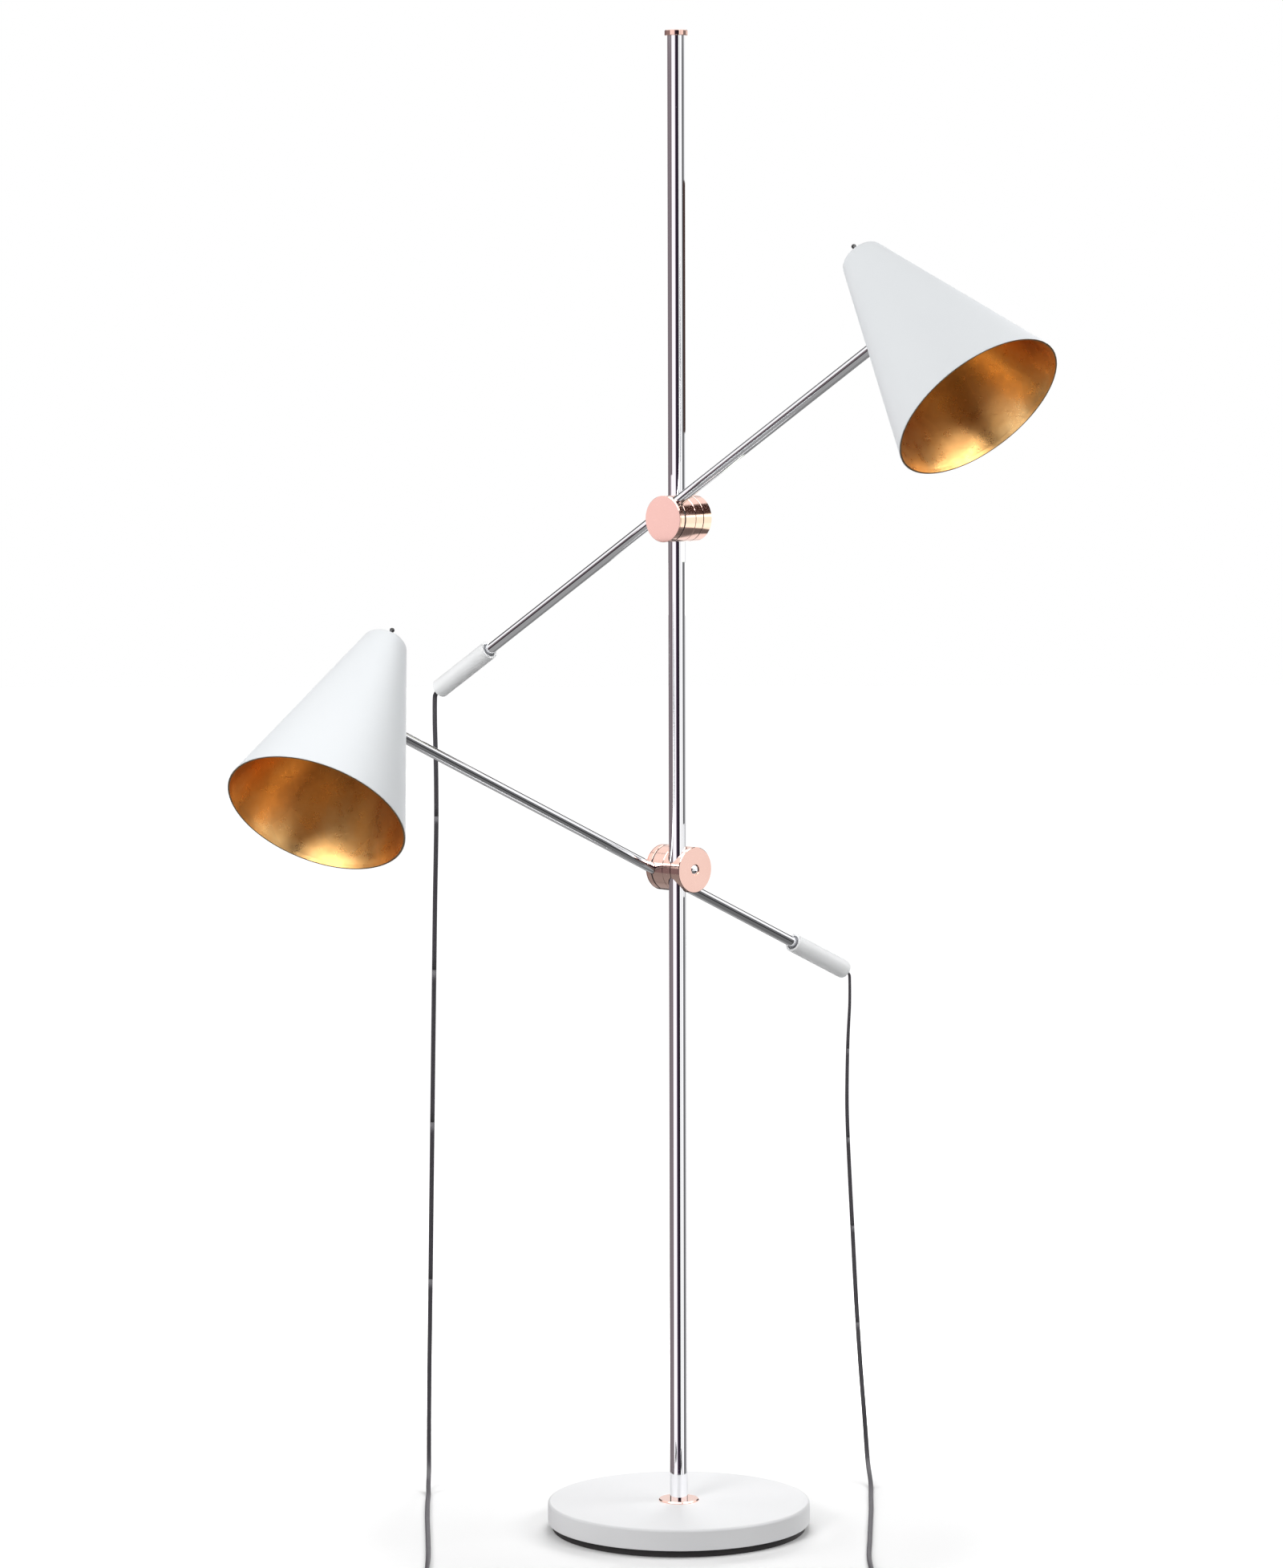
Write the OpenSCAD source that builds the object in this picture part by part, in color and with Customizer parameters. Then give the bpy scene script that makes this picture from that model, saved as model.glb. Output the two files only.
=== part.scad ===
// Floor lamp: round base, chrome pole and two counterweighted arms in split copper clamps.
// Each arm carries a conical shade with a gold inside. Millimetres, Z up.
// The origin is the pole axis at the floor.

/* [Pole and base] */
// Height from the floor to the top of the cap
lamp_h = 1700; // [1500:10:1900]
// Outside diameter of the pole
pole_d = 20; // [18:0.5:21]
// Wall of the pole tube
pole_wall = 1.5; // [1:0.1:2.5]
// Diameter of the base
base_d = 300; // [240:5:360]
// Height of the white cover of the base
cover_h = 24; // [18:1:40]
// Sheet thickness of the cover
cover_wall = 1.6; // [1:0.1:3]
// Rounding of the cover's top edge
cover_edge_r = 3; // [2:0.5:6]
// Thickness of the black foot pad
pad_h = 8; // [4:1:14]
// How far the pad is set in from the edge
pad_inset = 5; // [2:1:15]
// Diameter of the copper rosette round the pole
rosette_d = 46; // [38:1:60]
// Thickness of the rosette
rosette_h = 2; // [1:0.5:5]
// Diameter of the cap on top of the pole
cap_d = 26; // [23:1:34]
// Thickness of that cap
cap_h = 6; // [4:1:12]
// Diameter of the bolt that holds the pole to the base
base_bolt_d = 10; // [8:1:10]
// Length of the threaded plug in the foot of the pole
plug_insert_l = 30; // [20:1:50]

/* [Clamp] */
// Diameter of the clamp
clamp_d = 52; // [52:1:60]
// From the plain end face to the arm's axis
face_to_arm = 9; // [9:0.5:12]
// From the arm's axis to the pole's axis
arm_to_pole = 31; // [30:0.5:40]
// From the pole's axis to the bolt face
pole_to_face = 14; // [14:0.5:20]
// From the clamp bolt's axis to the pole's axis
pole_offset = 14; // [14:0.2:15]
// From the clamp bolt's axis to the arm's axis
arm_offset = 9.6; // [9.6:0.2:12]
// From the pole's axis to the seam where the clamp swivels
pole_to_seam = 13; // [12.5:0.5:15]
// Gap between the two jaws on the pole
pole_split = 1; // [0.6:0.2:2]
// Thickness of the black gasket between the two jaws on the arm
gasket_h = 2; // [1:0.2:3]
// How far the gasket is set in from the side of the clamp
gasket_inset = 0.5; // [0.3:0.1:2]
// Thickness of the decorative end disc
disc_h = 1.6; // [1.2:0.1:2]
// Diameter of the clamp bolt
clamp_bolt_d = 5; // [4:0.5:5]
// Diameter of the domed bolt head
bolt_head_d = 12; // [10:0.5:13]
// Height of the domed bolt head
bolt_head_h = 4.4; // [4:0.2:6]
// Depth of the pocket for the bolt head
head_pocket = 3.2; // [2:0.2:4]
// Diameter of the swivel spigot on the pole jaw
spigot_d = 18; // [14:1:24]
// Height of the swivel spigot
spigot_h = 2.4; // [1.5:0.1:4]
// Wall of the nylon liners in both bores
liner_wall = 0.5; // [0.4:0.05:0.6]

/* [Arm] */
// Outside diameter of the arm
arm_d = 12; // [10:0.5:12]
// Wall of the arm tube
arm_wall = 1; // [0.8:0.1:1.5]
// From the shade's axis to the counterweight's end face
arm_l = 824; // [760:1:900]
// Diameter of the counterweight
weight_d = 22; // [20:1:34]
// Length of the counterweight
weight_l = 95; // [60:1:140]
// Rounding of the counterweight's outer edge
weight_edge_r = 3; // [1:0.5:5]
// Thickness of the counterweight's end wall
weight_end = 8; // [5:1:14]
// Diameter of the pocket for the ring in the counterweight
ring_pocket_d = 17; // [16:0.5:18]
// Depth of that pocket
ring_pocket_h = 5; // [4:0.5:10]
// Thickness of the grey ring
ring_h = 3; // [2:0.5:3.5]
// Diameter of the bush that the flex leaves through
gland_d = 8; // [8:0.5:9]
// From the shade's wall to the screw that locks the arm to the bracket
lock_screw_x = 10; // [8:1:32]
// Diameter of that screw
lock_screw_d = 5; // [3:0.5:6]
// How far that screw stands out of the arm
lock_screw_out = 2; // [1:0.5:4]

/* [Shade] */
// Outside diameter of the mouth
mouth_d = 199; // [180:1:220]
// Outside diameter of the top, measured to the sharp corner
top_d = 45; // [44:1:60]
// Length along the shade's axis
shade_l = 236; // [220:1:260]
// Sheet thickness of the shade
shade_wall = 1.2; // [0.8:0.1:1.5]
// Rounding of the top edge
shade_edge_r = 10; // [6:0.5:10]
// Depth of the turned-in hem at the mouth
hem_h = 4; // [2:0.5:10]
// Thickness of the hem
hem_w = 2.2; // [1.8:0.1:3]
// From the mouth to where the arm's axis meets the shade's axis
mouth_to_arm = 136; // [125:1:145]
// Angle between the arm and the shade's axis
shade_lean = 75; // [70:1:90]
// Diameter of the lamp holder
holder_d = 37; // [30:0.5:38]
// Length of the lamp holder
holder_l = 44; // [36:1:46]
// Diameter of the bulb
bulb_d = 55; // [40:1:60]
// Length of the bulb below its holder
bulb_l = 84; // [70:1:90]
// Width of the bracket inside the shade
bracket_w = 14; // [10:1:16]
// Sheet thickness of the bracket
bracket_t = 2; // [1.5:0.1:2]

/* [Switch] */
// Diameter of the switch's threaded neck
neck_d = 6; // [5:0.5:7]
// Height of the neck above the shade
neck_h = 4.5; // [3.5:0.5:8]
// Diameter of the switch's ring nut
switch_nut_d = 11; // [9:0.5:14]
// Thickness of the ring nut
switch_nut_h = 2; // [1:0.5:3]
// Length of the toggle from its pivot to its tip
toggle_l = 13.5; // [10:0.5:20]
// Diameter of the toggle's tip
toggle_d = 5.5; // [4:0.5:7]
// How far the toggle leans to each side
toggle_lean = 10; // [5:1:12]

/* [Upper arm] */
// Height of the upper clamp
upper_z = 1155.5; // [1000:0.5:1400]
// Heading of the upper clamp round the pole
upper_heading = -41.9; // [-90:0.1:90]
// Slope of the upper arm
upper_tilt = 31.2; // [0:0.1:45]
// From the clamp's bolt axis to the upper shade's axis, along the arm
upper_reach = 410; // [250:1:600]
// Turn of the upper arm about itself
upper_spin = -2; // [-30:0.1:30]

/* [Lower arm] */
// Height of the lower clamp
lower_z = 757; // [600:0.5:900]
// Heading of the lower clamp round the pole
lower_heading = 223.5; // [150:0.1:270]
// Slope of the lower arm
lower_tilt = 24.5; // [0:0.1:45]
// From the clamp's bolt axis to the lower shade's axis, along the arm
lower_reach = 502; // [250:1:600]
// Turn of the lower arm about itself
lower_spin = 14; // [-30:0.1:30]

/* [Cord] */
// Width of the flat flex
flex_w = 5.4; // [4:0.2:6]
// Thickness of the flat flex
flex_t = 3.2; // [2:0.2:4]
// Mean radius of a put-away coil
coil_r = 30; // [26:1:36]
// Width of the bundle of turns
coil_w = 18; // [14:1:24]
// Height of the bundle of turns
coil_h = 12; // [8:1:14]
// Thickness of the strap that ties a coil
tie_t = 0.8; // [0.5:0.1:1.5]
// Length of the strap along the bundle
tie_l = 9; // [6:1:15]
// Diameter of a plug pin
pin_d = 4; // [3.8:0.1:4.2]
// From pin to pin
pin_pitch = 18.6; // [17:0.1:19.6]
// Length of a plug pin
pin_l = 19; // [15:0.5:22]

/* [Hidden] */

$fn = 72;
UPPER = 0;
LOWER = 1;

// Clearances: a shaft that turns or slides, parts that are only assembled, loose holes
run_gap = 0.04;
seat_gap = 0.02;
free_gap = 0.3;
eps = 0.5;

copper = [0.80, 0.50, 0.40];
chrome = [0.80, 0.80, 0.82];
white = [0.94, 0.94, 0.94];
gold = [0.83, 0.58, 0.22];
black = [0.08, 0.08, 0.08];
grey = [0.45, 0.45, 0.47];
flex_grey = [0.30, 0.29, 0.32];

// Base and pole
cover_top = pad_h + cover_h;
pole_r = pole_d / 2;
pole_in_r = pole_r - pole_wall;
pole_top = lamp_h - cap_h;
weight_h = cover_h - cover_wall;
bolt_pocket_d = 2.6 * base_bolt_d;
bolt_pocket_h = 0.9 * base_bolt_d;
bolt_head_w = 1.7 * base_bolt_d;
cap_spigot_l = 14;

// Clamp, measured along its bolt from the pole's axis
bore_fit = run_gap + liner_wall + run_gap;
pole_bore_r = pole_r + bore_fit;
arm_bore_r = arm_d / 2 + bore_fit;
clamp_r = max(clamp_d / 2, pole_offset + pole_bore_r + 1.2);
disc_z = arm_to_pole + face_to_arm - disc_h;
disc_shoulder = 0.4;
disc_shoulder_inset = 0.8;
clamp_chamfer = 0.6;
seam_chamfer = 0.5;
bolt_r = clamp_bolt_d / 2;
head_z = -pole_to_face + head_pocket - run_gap;
bolt_tip_z = disc_z - 0.8;
pole_liner_l = 2 * chord(pole_offset + pole_bore_r) - 0.6;
arm_liner_l = 2 * chord(arm_offset + arm_bore_r) - 0.6;

// Arm, measured along it from the shade's axis
arm_r = arm_d / 2;
arm_in_r = arm_r - arm_wall;
weight_r = weight_d / 2;
tail = -arm_l;

// Shade, measured down its axis from the top plane
mouth_r = mouth_d / 2;
top_r = top_d / 2;
slope = (mouth_r - top_r) / shade_l;
side_angle = atan(slope);
wall_h = shade_wall / cos(side_angle);
arm_depth = shade_l - mouth_to_arm;
bracket_gap = 1.4;
// Where the arm's axis meets the outside of the wall, from the shade's axis along the arm
wall_hit = (top_r + slope * arm_depth) / (sin(shade_lean) + slope * cos(shade_lean));
arm_end = -wall_hit + shade_wall + 0.7 * bracket_gap;
lock_x = -wall_hit - lock_screw_x;
bracket_pin_l = lock_screw_x + 15;
pin_end = 7 - wall_hit;
tab_depth = 18;
switch_body_h = 12;
holder_top = tab_depth + bracket_t + seat_gap;
holder_end = holder_top + holder_l;
pivot_h = neck_h - 2;
lever_pin_r = 0.8;
lever_bore_r = 2.1;
cap_r = 13.2;
cap_l = 25;

// Flex: its half section, its way from the counterweight to its coil, and the coils
inner_flex_r = 2.2;
flex_bore_r = 3;
// Straight length out of the counterweight, before the flex bends down
flex_straight = 2.5;
flex_section = [for (t = [0:45:315]) [flex_w / 2 * cos(t), flex_t / 2 * sin(t)]];
laid_points = [
    [[-282, 212, 943], [-283, 213, 936], [-283, 211, 905], [-282, 209, 860], [-282, 209, 790],
        [-284, 209, 700], [-286, 209, 590], [-288, 209, 480], [-290, 209, 365],
        [-292, 209, 250], [-294, 209, 140], [-295, 209, 60], [-295, 203, 24], [-295, 186, 8],
        [-294, 163, 2], [-293, 120, 2], [-290, 40, 2], [-285, -60, 2], [-281, -150, 2],
        [-280, -220, 2], [-281.5, -283, 2]],
    [[204, 236, 609], [205, 237, 602], [205, 238, 570], [203, 238, 528], [202, 238, 452],
        [205, 238, 375], [209, 238, 298], [213, 238, 221], [218, 238, 144], [223, 238, 80],
        [225, 238, 52], [227, 232, 24], [229, 215, 8], [229, 192, 2], [227, 150, 2],
        [224, 80, 2], [220, 10, 2], [215, -80, 2], [211, -150, 2], [211, -220, 2],
        [215.5, -283, 2]]];
coil_at = [[-247, -295, 0], [181, -295, 0]];

heading = [upper_heading, lower_heading];
clamp_z = [upper_z, lower_z];
flip = [0, 180];
tilt = [upper_tilt, lower_tilt];
reach = [upper_reach, lower_reach];
spin = [upper_spin, lower_spin];

// Radius inside the shade's cone at a depth below the top plane
function inner_r(depth) = top_r + slope * depth - wall_h;
function arc(c, r, from, to, steps) =
    [for (i = [0:steps]) let (t = from + (to - from) * i / steps) c + r * [cos(t), sin(t)]];
function unit(v) = v / norm(v);
// Half the clamp's width at a distance from its axis
function chord(x) = sqrt(clamp_r * clamp_r - x * x);

// ---- frames -------------------------------------------------------------------

// Z along the clamp bolt towards the arm, Y along the pole, the bolt on the Z axis
module at_clamp(side) {
    translate([0, 0, clamp_z[side]])
        rotate([90, 0, heading[side]])
            rotate([0, 0, flip[side]])
                translate([pole_offset, 0, 0])
                    children();
}

// The same axis, turned with the arm
module at_arm_jaws(side) {
    at_clamp(side)
        rotate([0, 0, tilt[side]])
            children();
}

// X along the arm towards the shade, from the middle of the arm's bore
module at_arm(side) {
    at_arm_jaws(side)
        translate([0, arm_offset, arm_to_pole])
            rotate([0, 0, flip[side]])
                rotate([spin[side], 0, 0])
                    children();
}

// X along the arm, from where it meets the shade's axis
module at_shade_end(side) {
    at_arm(side)
        translate([reach[side], 0, 0])
            children();
}

// Z along the shade's axis, upwards, from the middle of its top plane
module at_shade(side) {
    at_shade_end(side)
        rotate([0, 0, 90 - shade_lean])
            rotate([-90, 0, 0])
                translate([0, 0, arm_depth])
                    children();
}

// ---- shared shapes ------------------------------------------------------------

module rod_x(r, from, to) {
    translate([from, 0, 0])
        rotate([0, 90, 0])
            cylinder(r = r, h = to - from);
}

module rod_y(r, length) {
    rotate([90, 0, 0])
        cylinder(r = r, h = length, center = true);
}

module tube(r_out, r_in, z0, z1) {
    rotate_extrude()
        polygon([[r_in, z0], [r_out, z0], [r_out, z1], [r_in, z1]]);
}

module disc(r, z0, z1, chamfer_low = 0, chamfer_high = 0) {
    rotate_extrude()
        polygon([[0, z0], [r - chamfer_low, z0], [r, z0 + chamfer_low],
            [r, z1 - chamfer_high], [r - chamfer_high, z1], [0, z1]]);
}

// ---- base and pole ------------------------------------------------------------

module base_cover() {
    r = base_d / 2;
    e = cover_edge_r;
    inner = max(e - cover_wall, 0.2);
    hole = base_bolt_d / 2 + free_gap;
    color(white)
        rotate_extrude()
            polygon(concat(
                [[hole, cover_top], [hole, cover_top - cover_wall]],
                arc([r - cover_wall - inner, cover_top - cover_wall - inner], inner, 90, 0, 4),
                [[r - cover_wall, pad_h], [r - 0.8, pad_h], [r, pad_h + 0.8]],
                arc([r - e, cover_top - e], e, 0, 90, 6)));
}

module base_weight() {
    r = base_d / 2 - cover_wall - 0.6;
    color(grey)
        difference() {
            disc(r, pad_h, pad_h + weight_h, 0, cover_edge_r);
            translate([0, 0, pad_h - eps])
                cylinder(d = base_bolt_d + 2 * free_gap, h = weight_h + 2 * eps);
            translate([0, 0, pad_h - eps])
                cylinder(d = bolt_pocket_d, h = bolt_pocket_h + eps);
        }
}

module base_pad() {
    color(black)
        disc(base_d / 2 - pad_inset, 0, pad_h, 0.8, 0);
}

module rosette() {
    color(copper)
        rotate_extrude()
            polygon([[pole_r + seat_gap, cover_top], [rosette_d / 2, cover_top],
                [rosette_d / 2, cover_top + 0.45 * rosette_h],
                [rosette_d / 2 - 0.55 * rosette_h, cover_top + rosette_h],
                [pole_r + seat_gap, cover_top + rosette_h]]);
}

module pole() {
    color(chrome)
        tube(pole_r, pole_in_r, cover_top, pole_top);
}

module pole_insert() {
    color(grey)
        tube(pole_in_r - seat_gap, base_bolt_d / 2 + seat_gap, cover_top, cover_top + plug_insert_l);
}

// Hexagon bolt with its washer, from under the weight up into the insert
module base_bolt() {
    head_z0 = pad_h + 1;
    washer_h = 1.6;
    pocket_z = pad_h + bolt_pocket_h;
    color(grey) {
        translate([0, 0, head_z0])
            cylinder(d = bolt_head_w, h = pocket_z - washer_h - head_z0, $fn = 6);
        translate([0, 0, pocket_z - washer_h])
            cylinder(d = bolt_pocket_d - 3, h = washer_h);
        translate([0, 0, pocket_z])
            cylinder(d = base_bolt_d, h = cover_top + plug_insert_l - 6 - pocket_z);
    }
}

module top_cap() {
    color(copper) {
        disc(cap_d / 2, pole_top, lamp_h, 0.4, 0.6);
        translate([0, 0, -cap_spigot_l])
            disc(pole_in_r - seat_gap, pole_top, pole_top + cap_spigot_l, 1, 0);
    }
}

// ---- clamp --------------------------------------------------------------------

module pole_bore() {
    translate([-pole_offset, 0, 0])
        rod_y(pole_bore_r, 2 * clamp_d);
}

module arm_bore() {
    translate([0, arm_offset, arm_to_pole])
        rod_x(arm_bore_r, -clamp_d, clamp_d);
}

module bolt_hole(z0, z1, gap) {
    translate([0, 0, z0 - eps])
        cylinder(r = bolt_r + gap, h = z1 - z0 + 2 * eps);
}

module pole_liner(side) {
    color(black)
        at_clamp(side)
            translate([-pole_offset, 0, 0])
                rotate([90, 0, 0])
                    tube(pole_r + run_gap + liner_wall, pole_r + run_gap,
                        -pole_liner_l / 2, pole_liner_l / 2);
}

module pole_jaw_outer(side) {
    color(copper)
        at_clamp(side)
            difference() {
                disc(clamp_r, -pole_to_face, -pole_split / 2, clamp_chamfer, 0.2);
                pole_bore();
                bolt_hole(-pole_to_face, 0, free_gap);
                translate([0, 0, -pole_to_face - eps])
                    cylinder(d = bolt_head_d + 2 * free_gap, h = head_pocket + eps);
            }
}

module pole_jaw_inner(side) {
    color(copper)
        at_clamp(side)
            difference() {
                union() {
                    disc(clamp_r, pole_split / 2, pole_to_seam, 0.2, seam_chamfer);
                    translate([0, 0, pole_to_seam - eps])
                        cylinder(d = spigot_d, h = spigot_h + eps);
                }
                pole_bore();
                bolt_hole(0, pole_to_seam + spigot_h, free_gap);
            }
}

module arm_jaw_inner(side) {
    top = arm_to_pole - gasket_h / 2;
    color(copper)
        at_arm_jaws(side)
            difference() {
                disc(clamp_r, pole_to_seam + run_gap, top, seam_chamfer, 0.2);
                translate([0, 0, pole_to_seam - eps])
                    cylinder(d = spigot_d + 2 * run_gap, h = spigot_h + free_gap + eps);
                arm_bore();
                bolt_hole(pole_to_seam, top, seat_gap);
            }
}

// Flat gasket between the arm jaws, with a slot for the arm and a hole for the bolt
module arm_gasket(side) {
    color(black)
        at_arm_jaws(side)
            difference() {
                disc(clamp_r - gasket_inset, arm_to_pole - gasket_h / 2, arm_to_pole + gasket_h / 2);
                arm_bore();
                bolt_hole(0, arm_to_pole + gasket_h, seat_gap);
            }
}

module arm_jaw_outer(side) {
    bottom = arm_to_pole + gasket_h / 2;
    color(copper)
        at_arm_jaws(side)
            difference() {
                disc(clamp_r, bottom, disc_z, 0.2, 0.2);
                arm_bore();
                translate([0, 0, bottom - eps])
                    cylinder(r = bolt_r + seat_gap, h = bolt_tip_z - bottom + eps + seat_gap);
            }
}

module end_disc(side) {
    face_z = arm_to_pole + face_to_arm;
    color(copper)
        at_arm_jaws(side)
            rotate_extrude()
                polygon([[0, disc_z], [clamp_r - disc_shoulder_inset, disc_z],
                    [clamp_r - disc_shoulder_inset, disc_z + disc_shoulder],
                    [clamp_r, disc_z + disc_shoulder],
                    [clamp_r, face_z - 0.3], [clamp_r - 0.3, face_z], [0, face_z]]);
}

// Domed bolt: its head turns on the pole jaw and its thread holds the arm jaw
module clamp_bolt(side) {
    r = bolt_head_d / 2;
    rim = 0.35 * bolt_head_h;
    dome = bolt_head_h - rim;
    ball = (r * r + dome * dome) / (2 * dome);
    half = asin(r / ball);
    socket_d = 3;
    color(chrome)
        at_arm_jaws(side)
            difference() {
                rotate_extrude()
                    polygon(concat(
                        arc([0, head_z - bolt_head_h + ball], ball, 270, 270 + half, 6),
                        [[r, head_z], [bolt_r, head_z], [bolt_r, bolt_tip_z - 0.5],
                        [bolt_r - 0.5, bolt_tip_z], [0, bolt_tip_z]]));
                translate([0, 0, head_z - bolt_head_h - eps])
                    cylinder(d = socket_d, h = 2.2 + eps, $fn = 6);
            }
}

// ---- arm ----------------------------------------------------------------------

module arm_liner(side) {
    color(black)
        at_arm(side)
            rotate([0, 90, 0])
                tube(arm_r + run_gap + liner_wall, arm_r + run_gap, -arm_liner_l / 2, arm_liner_l / 2);
}

module arm(side) {
    color(chrome)
        at_shade_end(side)
            difference() {
                rod_x(arm_r, tail + weight_end, arm_end);
                rod_x(arm_in_r, tail + weight_end - eps, arm_end + eps);
                translate([lock_x, 0, 0])
                    rotate([90, 0, 0])
                        cylinder(d = lock_screw_d + 2 * seat_gap, h = arm_d);
            }
}

module counterweight(side) {
    e = weight_edge_r;
    near = tail + weight_l;
    color(white)
        at_shade_end(side)
            rotate([0, 90, 0])
                rotate_extrude()
                    polygon(concat(
                        [[gland_d / 2, tail]],
                        arc([weight_r - e, tail + e], e, 270, 360, 6),
                        [[weight_r, near - 0.5], [weight_r - 0.5, near],
                        [ring_pocket_d / 2, near], [ring_pocket_d / 2, near - ring_pocket_h],
                        [arm_r + seat_gap, near - ring_pocket_h],
                        [arm_r + seat_gap, tail + weight_end], [gland_d / 2, tail + weight_end]]));
}

module weight_ring(side) {
    near = tail + weight_l;
    color(grey)
        at_shade_end(side)
            rotate([0, 90, 0])
                tube(ring_pocket_d / 2 - seat_gap, arm_r + seat_gap,
                    near - ring_pocket_h, near - ring_pocket_h + ring_h);
}

module gland(side) {
    color(black)
        at_shade_end(side)
            difference() {
                rod_x(gland_d / 2 - seat_gap, tail, tail + weight_end);
                rod_x(inner_flex_r + seat_gap, tail - eps, tail + weight_end + eps);
            }
}

// Screw from below through the arm into the bracket's pin
module lock_screw(side) {
    color(chrome)
        at_shade_end(side)
            translate([lock_x, 0, 0])
                rotate([90, 0, 0])
                    difference() {
                        translate([0, 0, arm_in_r - 1.5])
                            disc(lock_screw_d / 2, 0, arm_wall + 1.5 + lock_screw_out, 0, 0.4);
                        translate([0, 0, arm_r + lock_screw_out - 1.2])
                            cylinder(d = 0.5 * lock_screw_d, h = 2, $fn = 6);
                    }
}

// ---- shade --------------------------------------------------------------------

// Half profile of the cone, moved in by a wall, from the axis to the mouth
function cone_outline(inset) =
    let (r = shade_edge_r - inset)
    let (centre_r = top_r + slope * shade_edge_r - shade_edge_r / cos(side_angle))
    concat([[0, -inset]],
        arc([centre_r, -shade_edge_r], r, 90, side_angle, 8));

// The hollow of the shade, with the hem's step at the mouth
function cone_hollow() =
    let (hem_r = mouth_r - hem_w / cos(side_angle))
    concat(cone_outline(shade_wall),
        [[inner_r(shade_l - hem_h), hem_h - shade_l],
        [hem_r - slope * hem_h, hem_h - shade_l],
        [hem_r, -shade_l], [hem_r, -shade_l - eps], [0, -shade_l - eps]]);

// The arm's way through the wall, in the shade's frame
module arm_hole() {
    translate([0, 0, -arm_depth])
        rotate([90, 0, 0])
            rotate([0, 0, shade_lean - 90])
                rod_x(arm_r + 2 * seat_gap, -mouth_r, -0.6 * wall_hit);
}

module shade(side) {
    color(white)
        at_shade(side)
            difference() {
                rotate_extrude()
                    difference() {
                        polygon(concat(cone_outline(0), [[mouth_r, -shade_l], [0, -shade_l]]));
                        polygon(cone_hollow());
                    }
                translate([0, 0, -shade_wall - eps])
                    cylinder(d = neck_d + 2 * seat_gap, h = shade_wall + 2 * eps);
                arm_hole();
            }
}

// Sheet bracket from the switch down the wall to the arm, with a tab for the holder
function bracket_profile() =
    let (t = bracket_t, top = shade_wall, knee = 12, wall_t = bracket_t / cos(side_angle))
    let (wall_x = function (depth) inner_r(depth) - bracket_gap)
    let (foot = arm_depth - 4)
    [[9, top], [-12, top], [-19, top + 4.2], [-wall_x(knee), knee], [-wall_x(foot), foot],
        [wall_t - wall_x(foot), foot], [wall_t - wall_x(tab_depth + t), tab_depth + t],
        [7, tab_depth + t], [7, tab_depth], [wall_t - wall_x(tab_depth), tab_depth],
        [wall_t - wall_x(knee), knee + 0.6], [-17.4, top + 5.6], [-11.2, top + t], [9, top + t]];

module bracket(side) {
    color(grey)
        difference() {
            union() {
                at_shade(side)
                    rotate([90, 0, 0])
                        linear_extrude(bracket_w, center = true)
                            polygon([for (p = bracket_profile()) [p[0], -p[1]]]);
                at_shade_end(side)
                    rod_x(arm_in_r - seat_gap, -wall_hit - bracket_pin_l, pin_end);
            }
            at_shade(side)
                translate([0, 0, -shade_wall - bracket_t - eps])
                    cylinder(d = neck_d + 2 * seat_gap, h = bracket_t + 2 * eps);
            at_shade_end(side) {
                rod_x(flex_bore_r, -wall_hit - bracket_pin_l - eps, pin_end + eps);
                translate([lock_x, 0, 0])
                    rotate([90, 0, 0])
                        translate([0, 0, arm_in_r - 1.5 - 2 * seat_gap])
                            cylinder(d = lock_screw_d + 2 * seat_gap, h = arm_d);
            }
        }
}

module lamp_holder(side) {
    r = holder_d / 2;
    socket_r = cap_r + seat_gap;
    color(black)
        at_shade(side)
            rotate_extrude()
                polygon([[0, -holder_top], [r - 4, -holder_top], [r, -holder_top - 6],
                    [r, -holder_end + 9], [r + 2, -holder_end + 9], [r + 2, -holder_end + 5],
                    [r - 1, -holder_end + 5], [r - 1, -holder_end],
                    [socket_r, -holder_end], [socket_r, -holder_end + cap_l + 1],
                    [0, -holder_end + cap_l + 1]]);
}

module bulb(side) {
    r = bulb_d / 2;
    centre = -holder_end - bulb_l + r;
    color([0.95, 0.95, 0.92])
        at_shade(side)
            rotate_extrude()
                polygon(concat(
                    arc([0, centre], r, -90, 38, 12),
                    [[cap_r + 0.8, -holder_end - 9], [cap_r, -holder_end - 2],
                    [cap_r, -holder_end + cap_l - 3], [4.5, -holder_end + cap_l], [0, -holder_end + cap_l]]));
}

module switch_body(side) {
    top = -shade_wall - bracket_t;
    color(grey)
        at_shade(side)
            difference() {
                union() {
                    translate([-4, -6.5, top - switch_body_h])
                        cube([8, 13, switch_body_h]);
                    translate([0, 0, top - eps])
                        cylinder(d = neck_d, h = neck_h - top + eps);
                }
                translate([0, 0, pivot_h - 3])
                    cylinder(r = lever_bore_r, h = neck_h - pivot_h + 3 + eps);
                translate([0, 0, pivot_h])
                    rod_x(lever_pin_r + run_gap, -neck_d, neck_d);
            }
}

module switch_nut(side) {
    color(chrome)
        at_shade(side)
            rotate_extrude()
                polygon([[neck_d / 2 + seat_gap, 0], [switch_nut_d / 2, 0],
                    [switch_nut_d / 2, 0.7 * switch_nut_h],
                    [switch_nut_d / 2 - 0.3 * switch_nut_h, switch_nut_h],
                    [neck_d / 2 + seat_gap, switch_nut_h]]);
}

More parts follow.
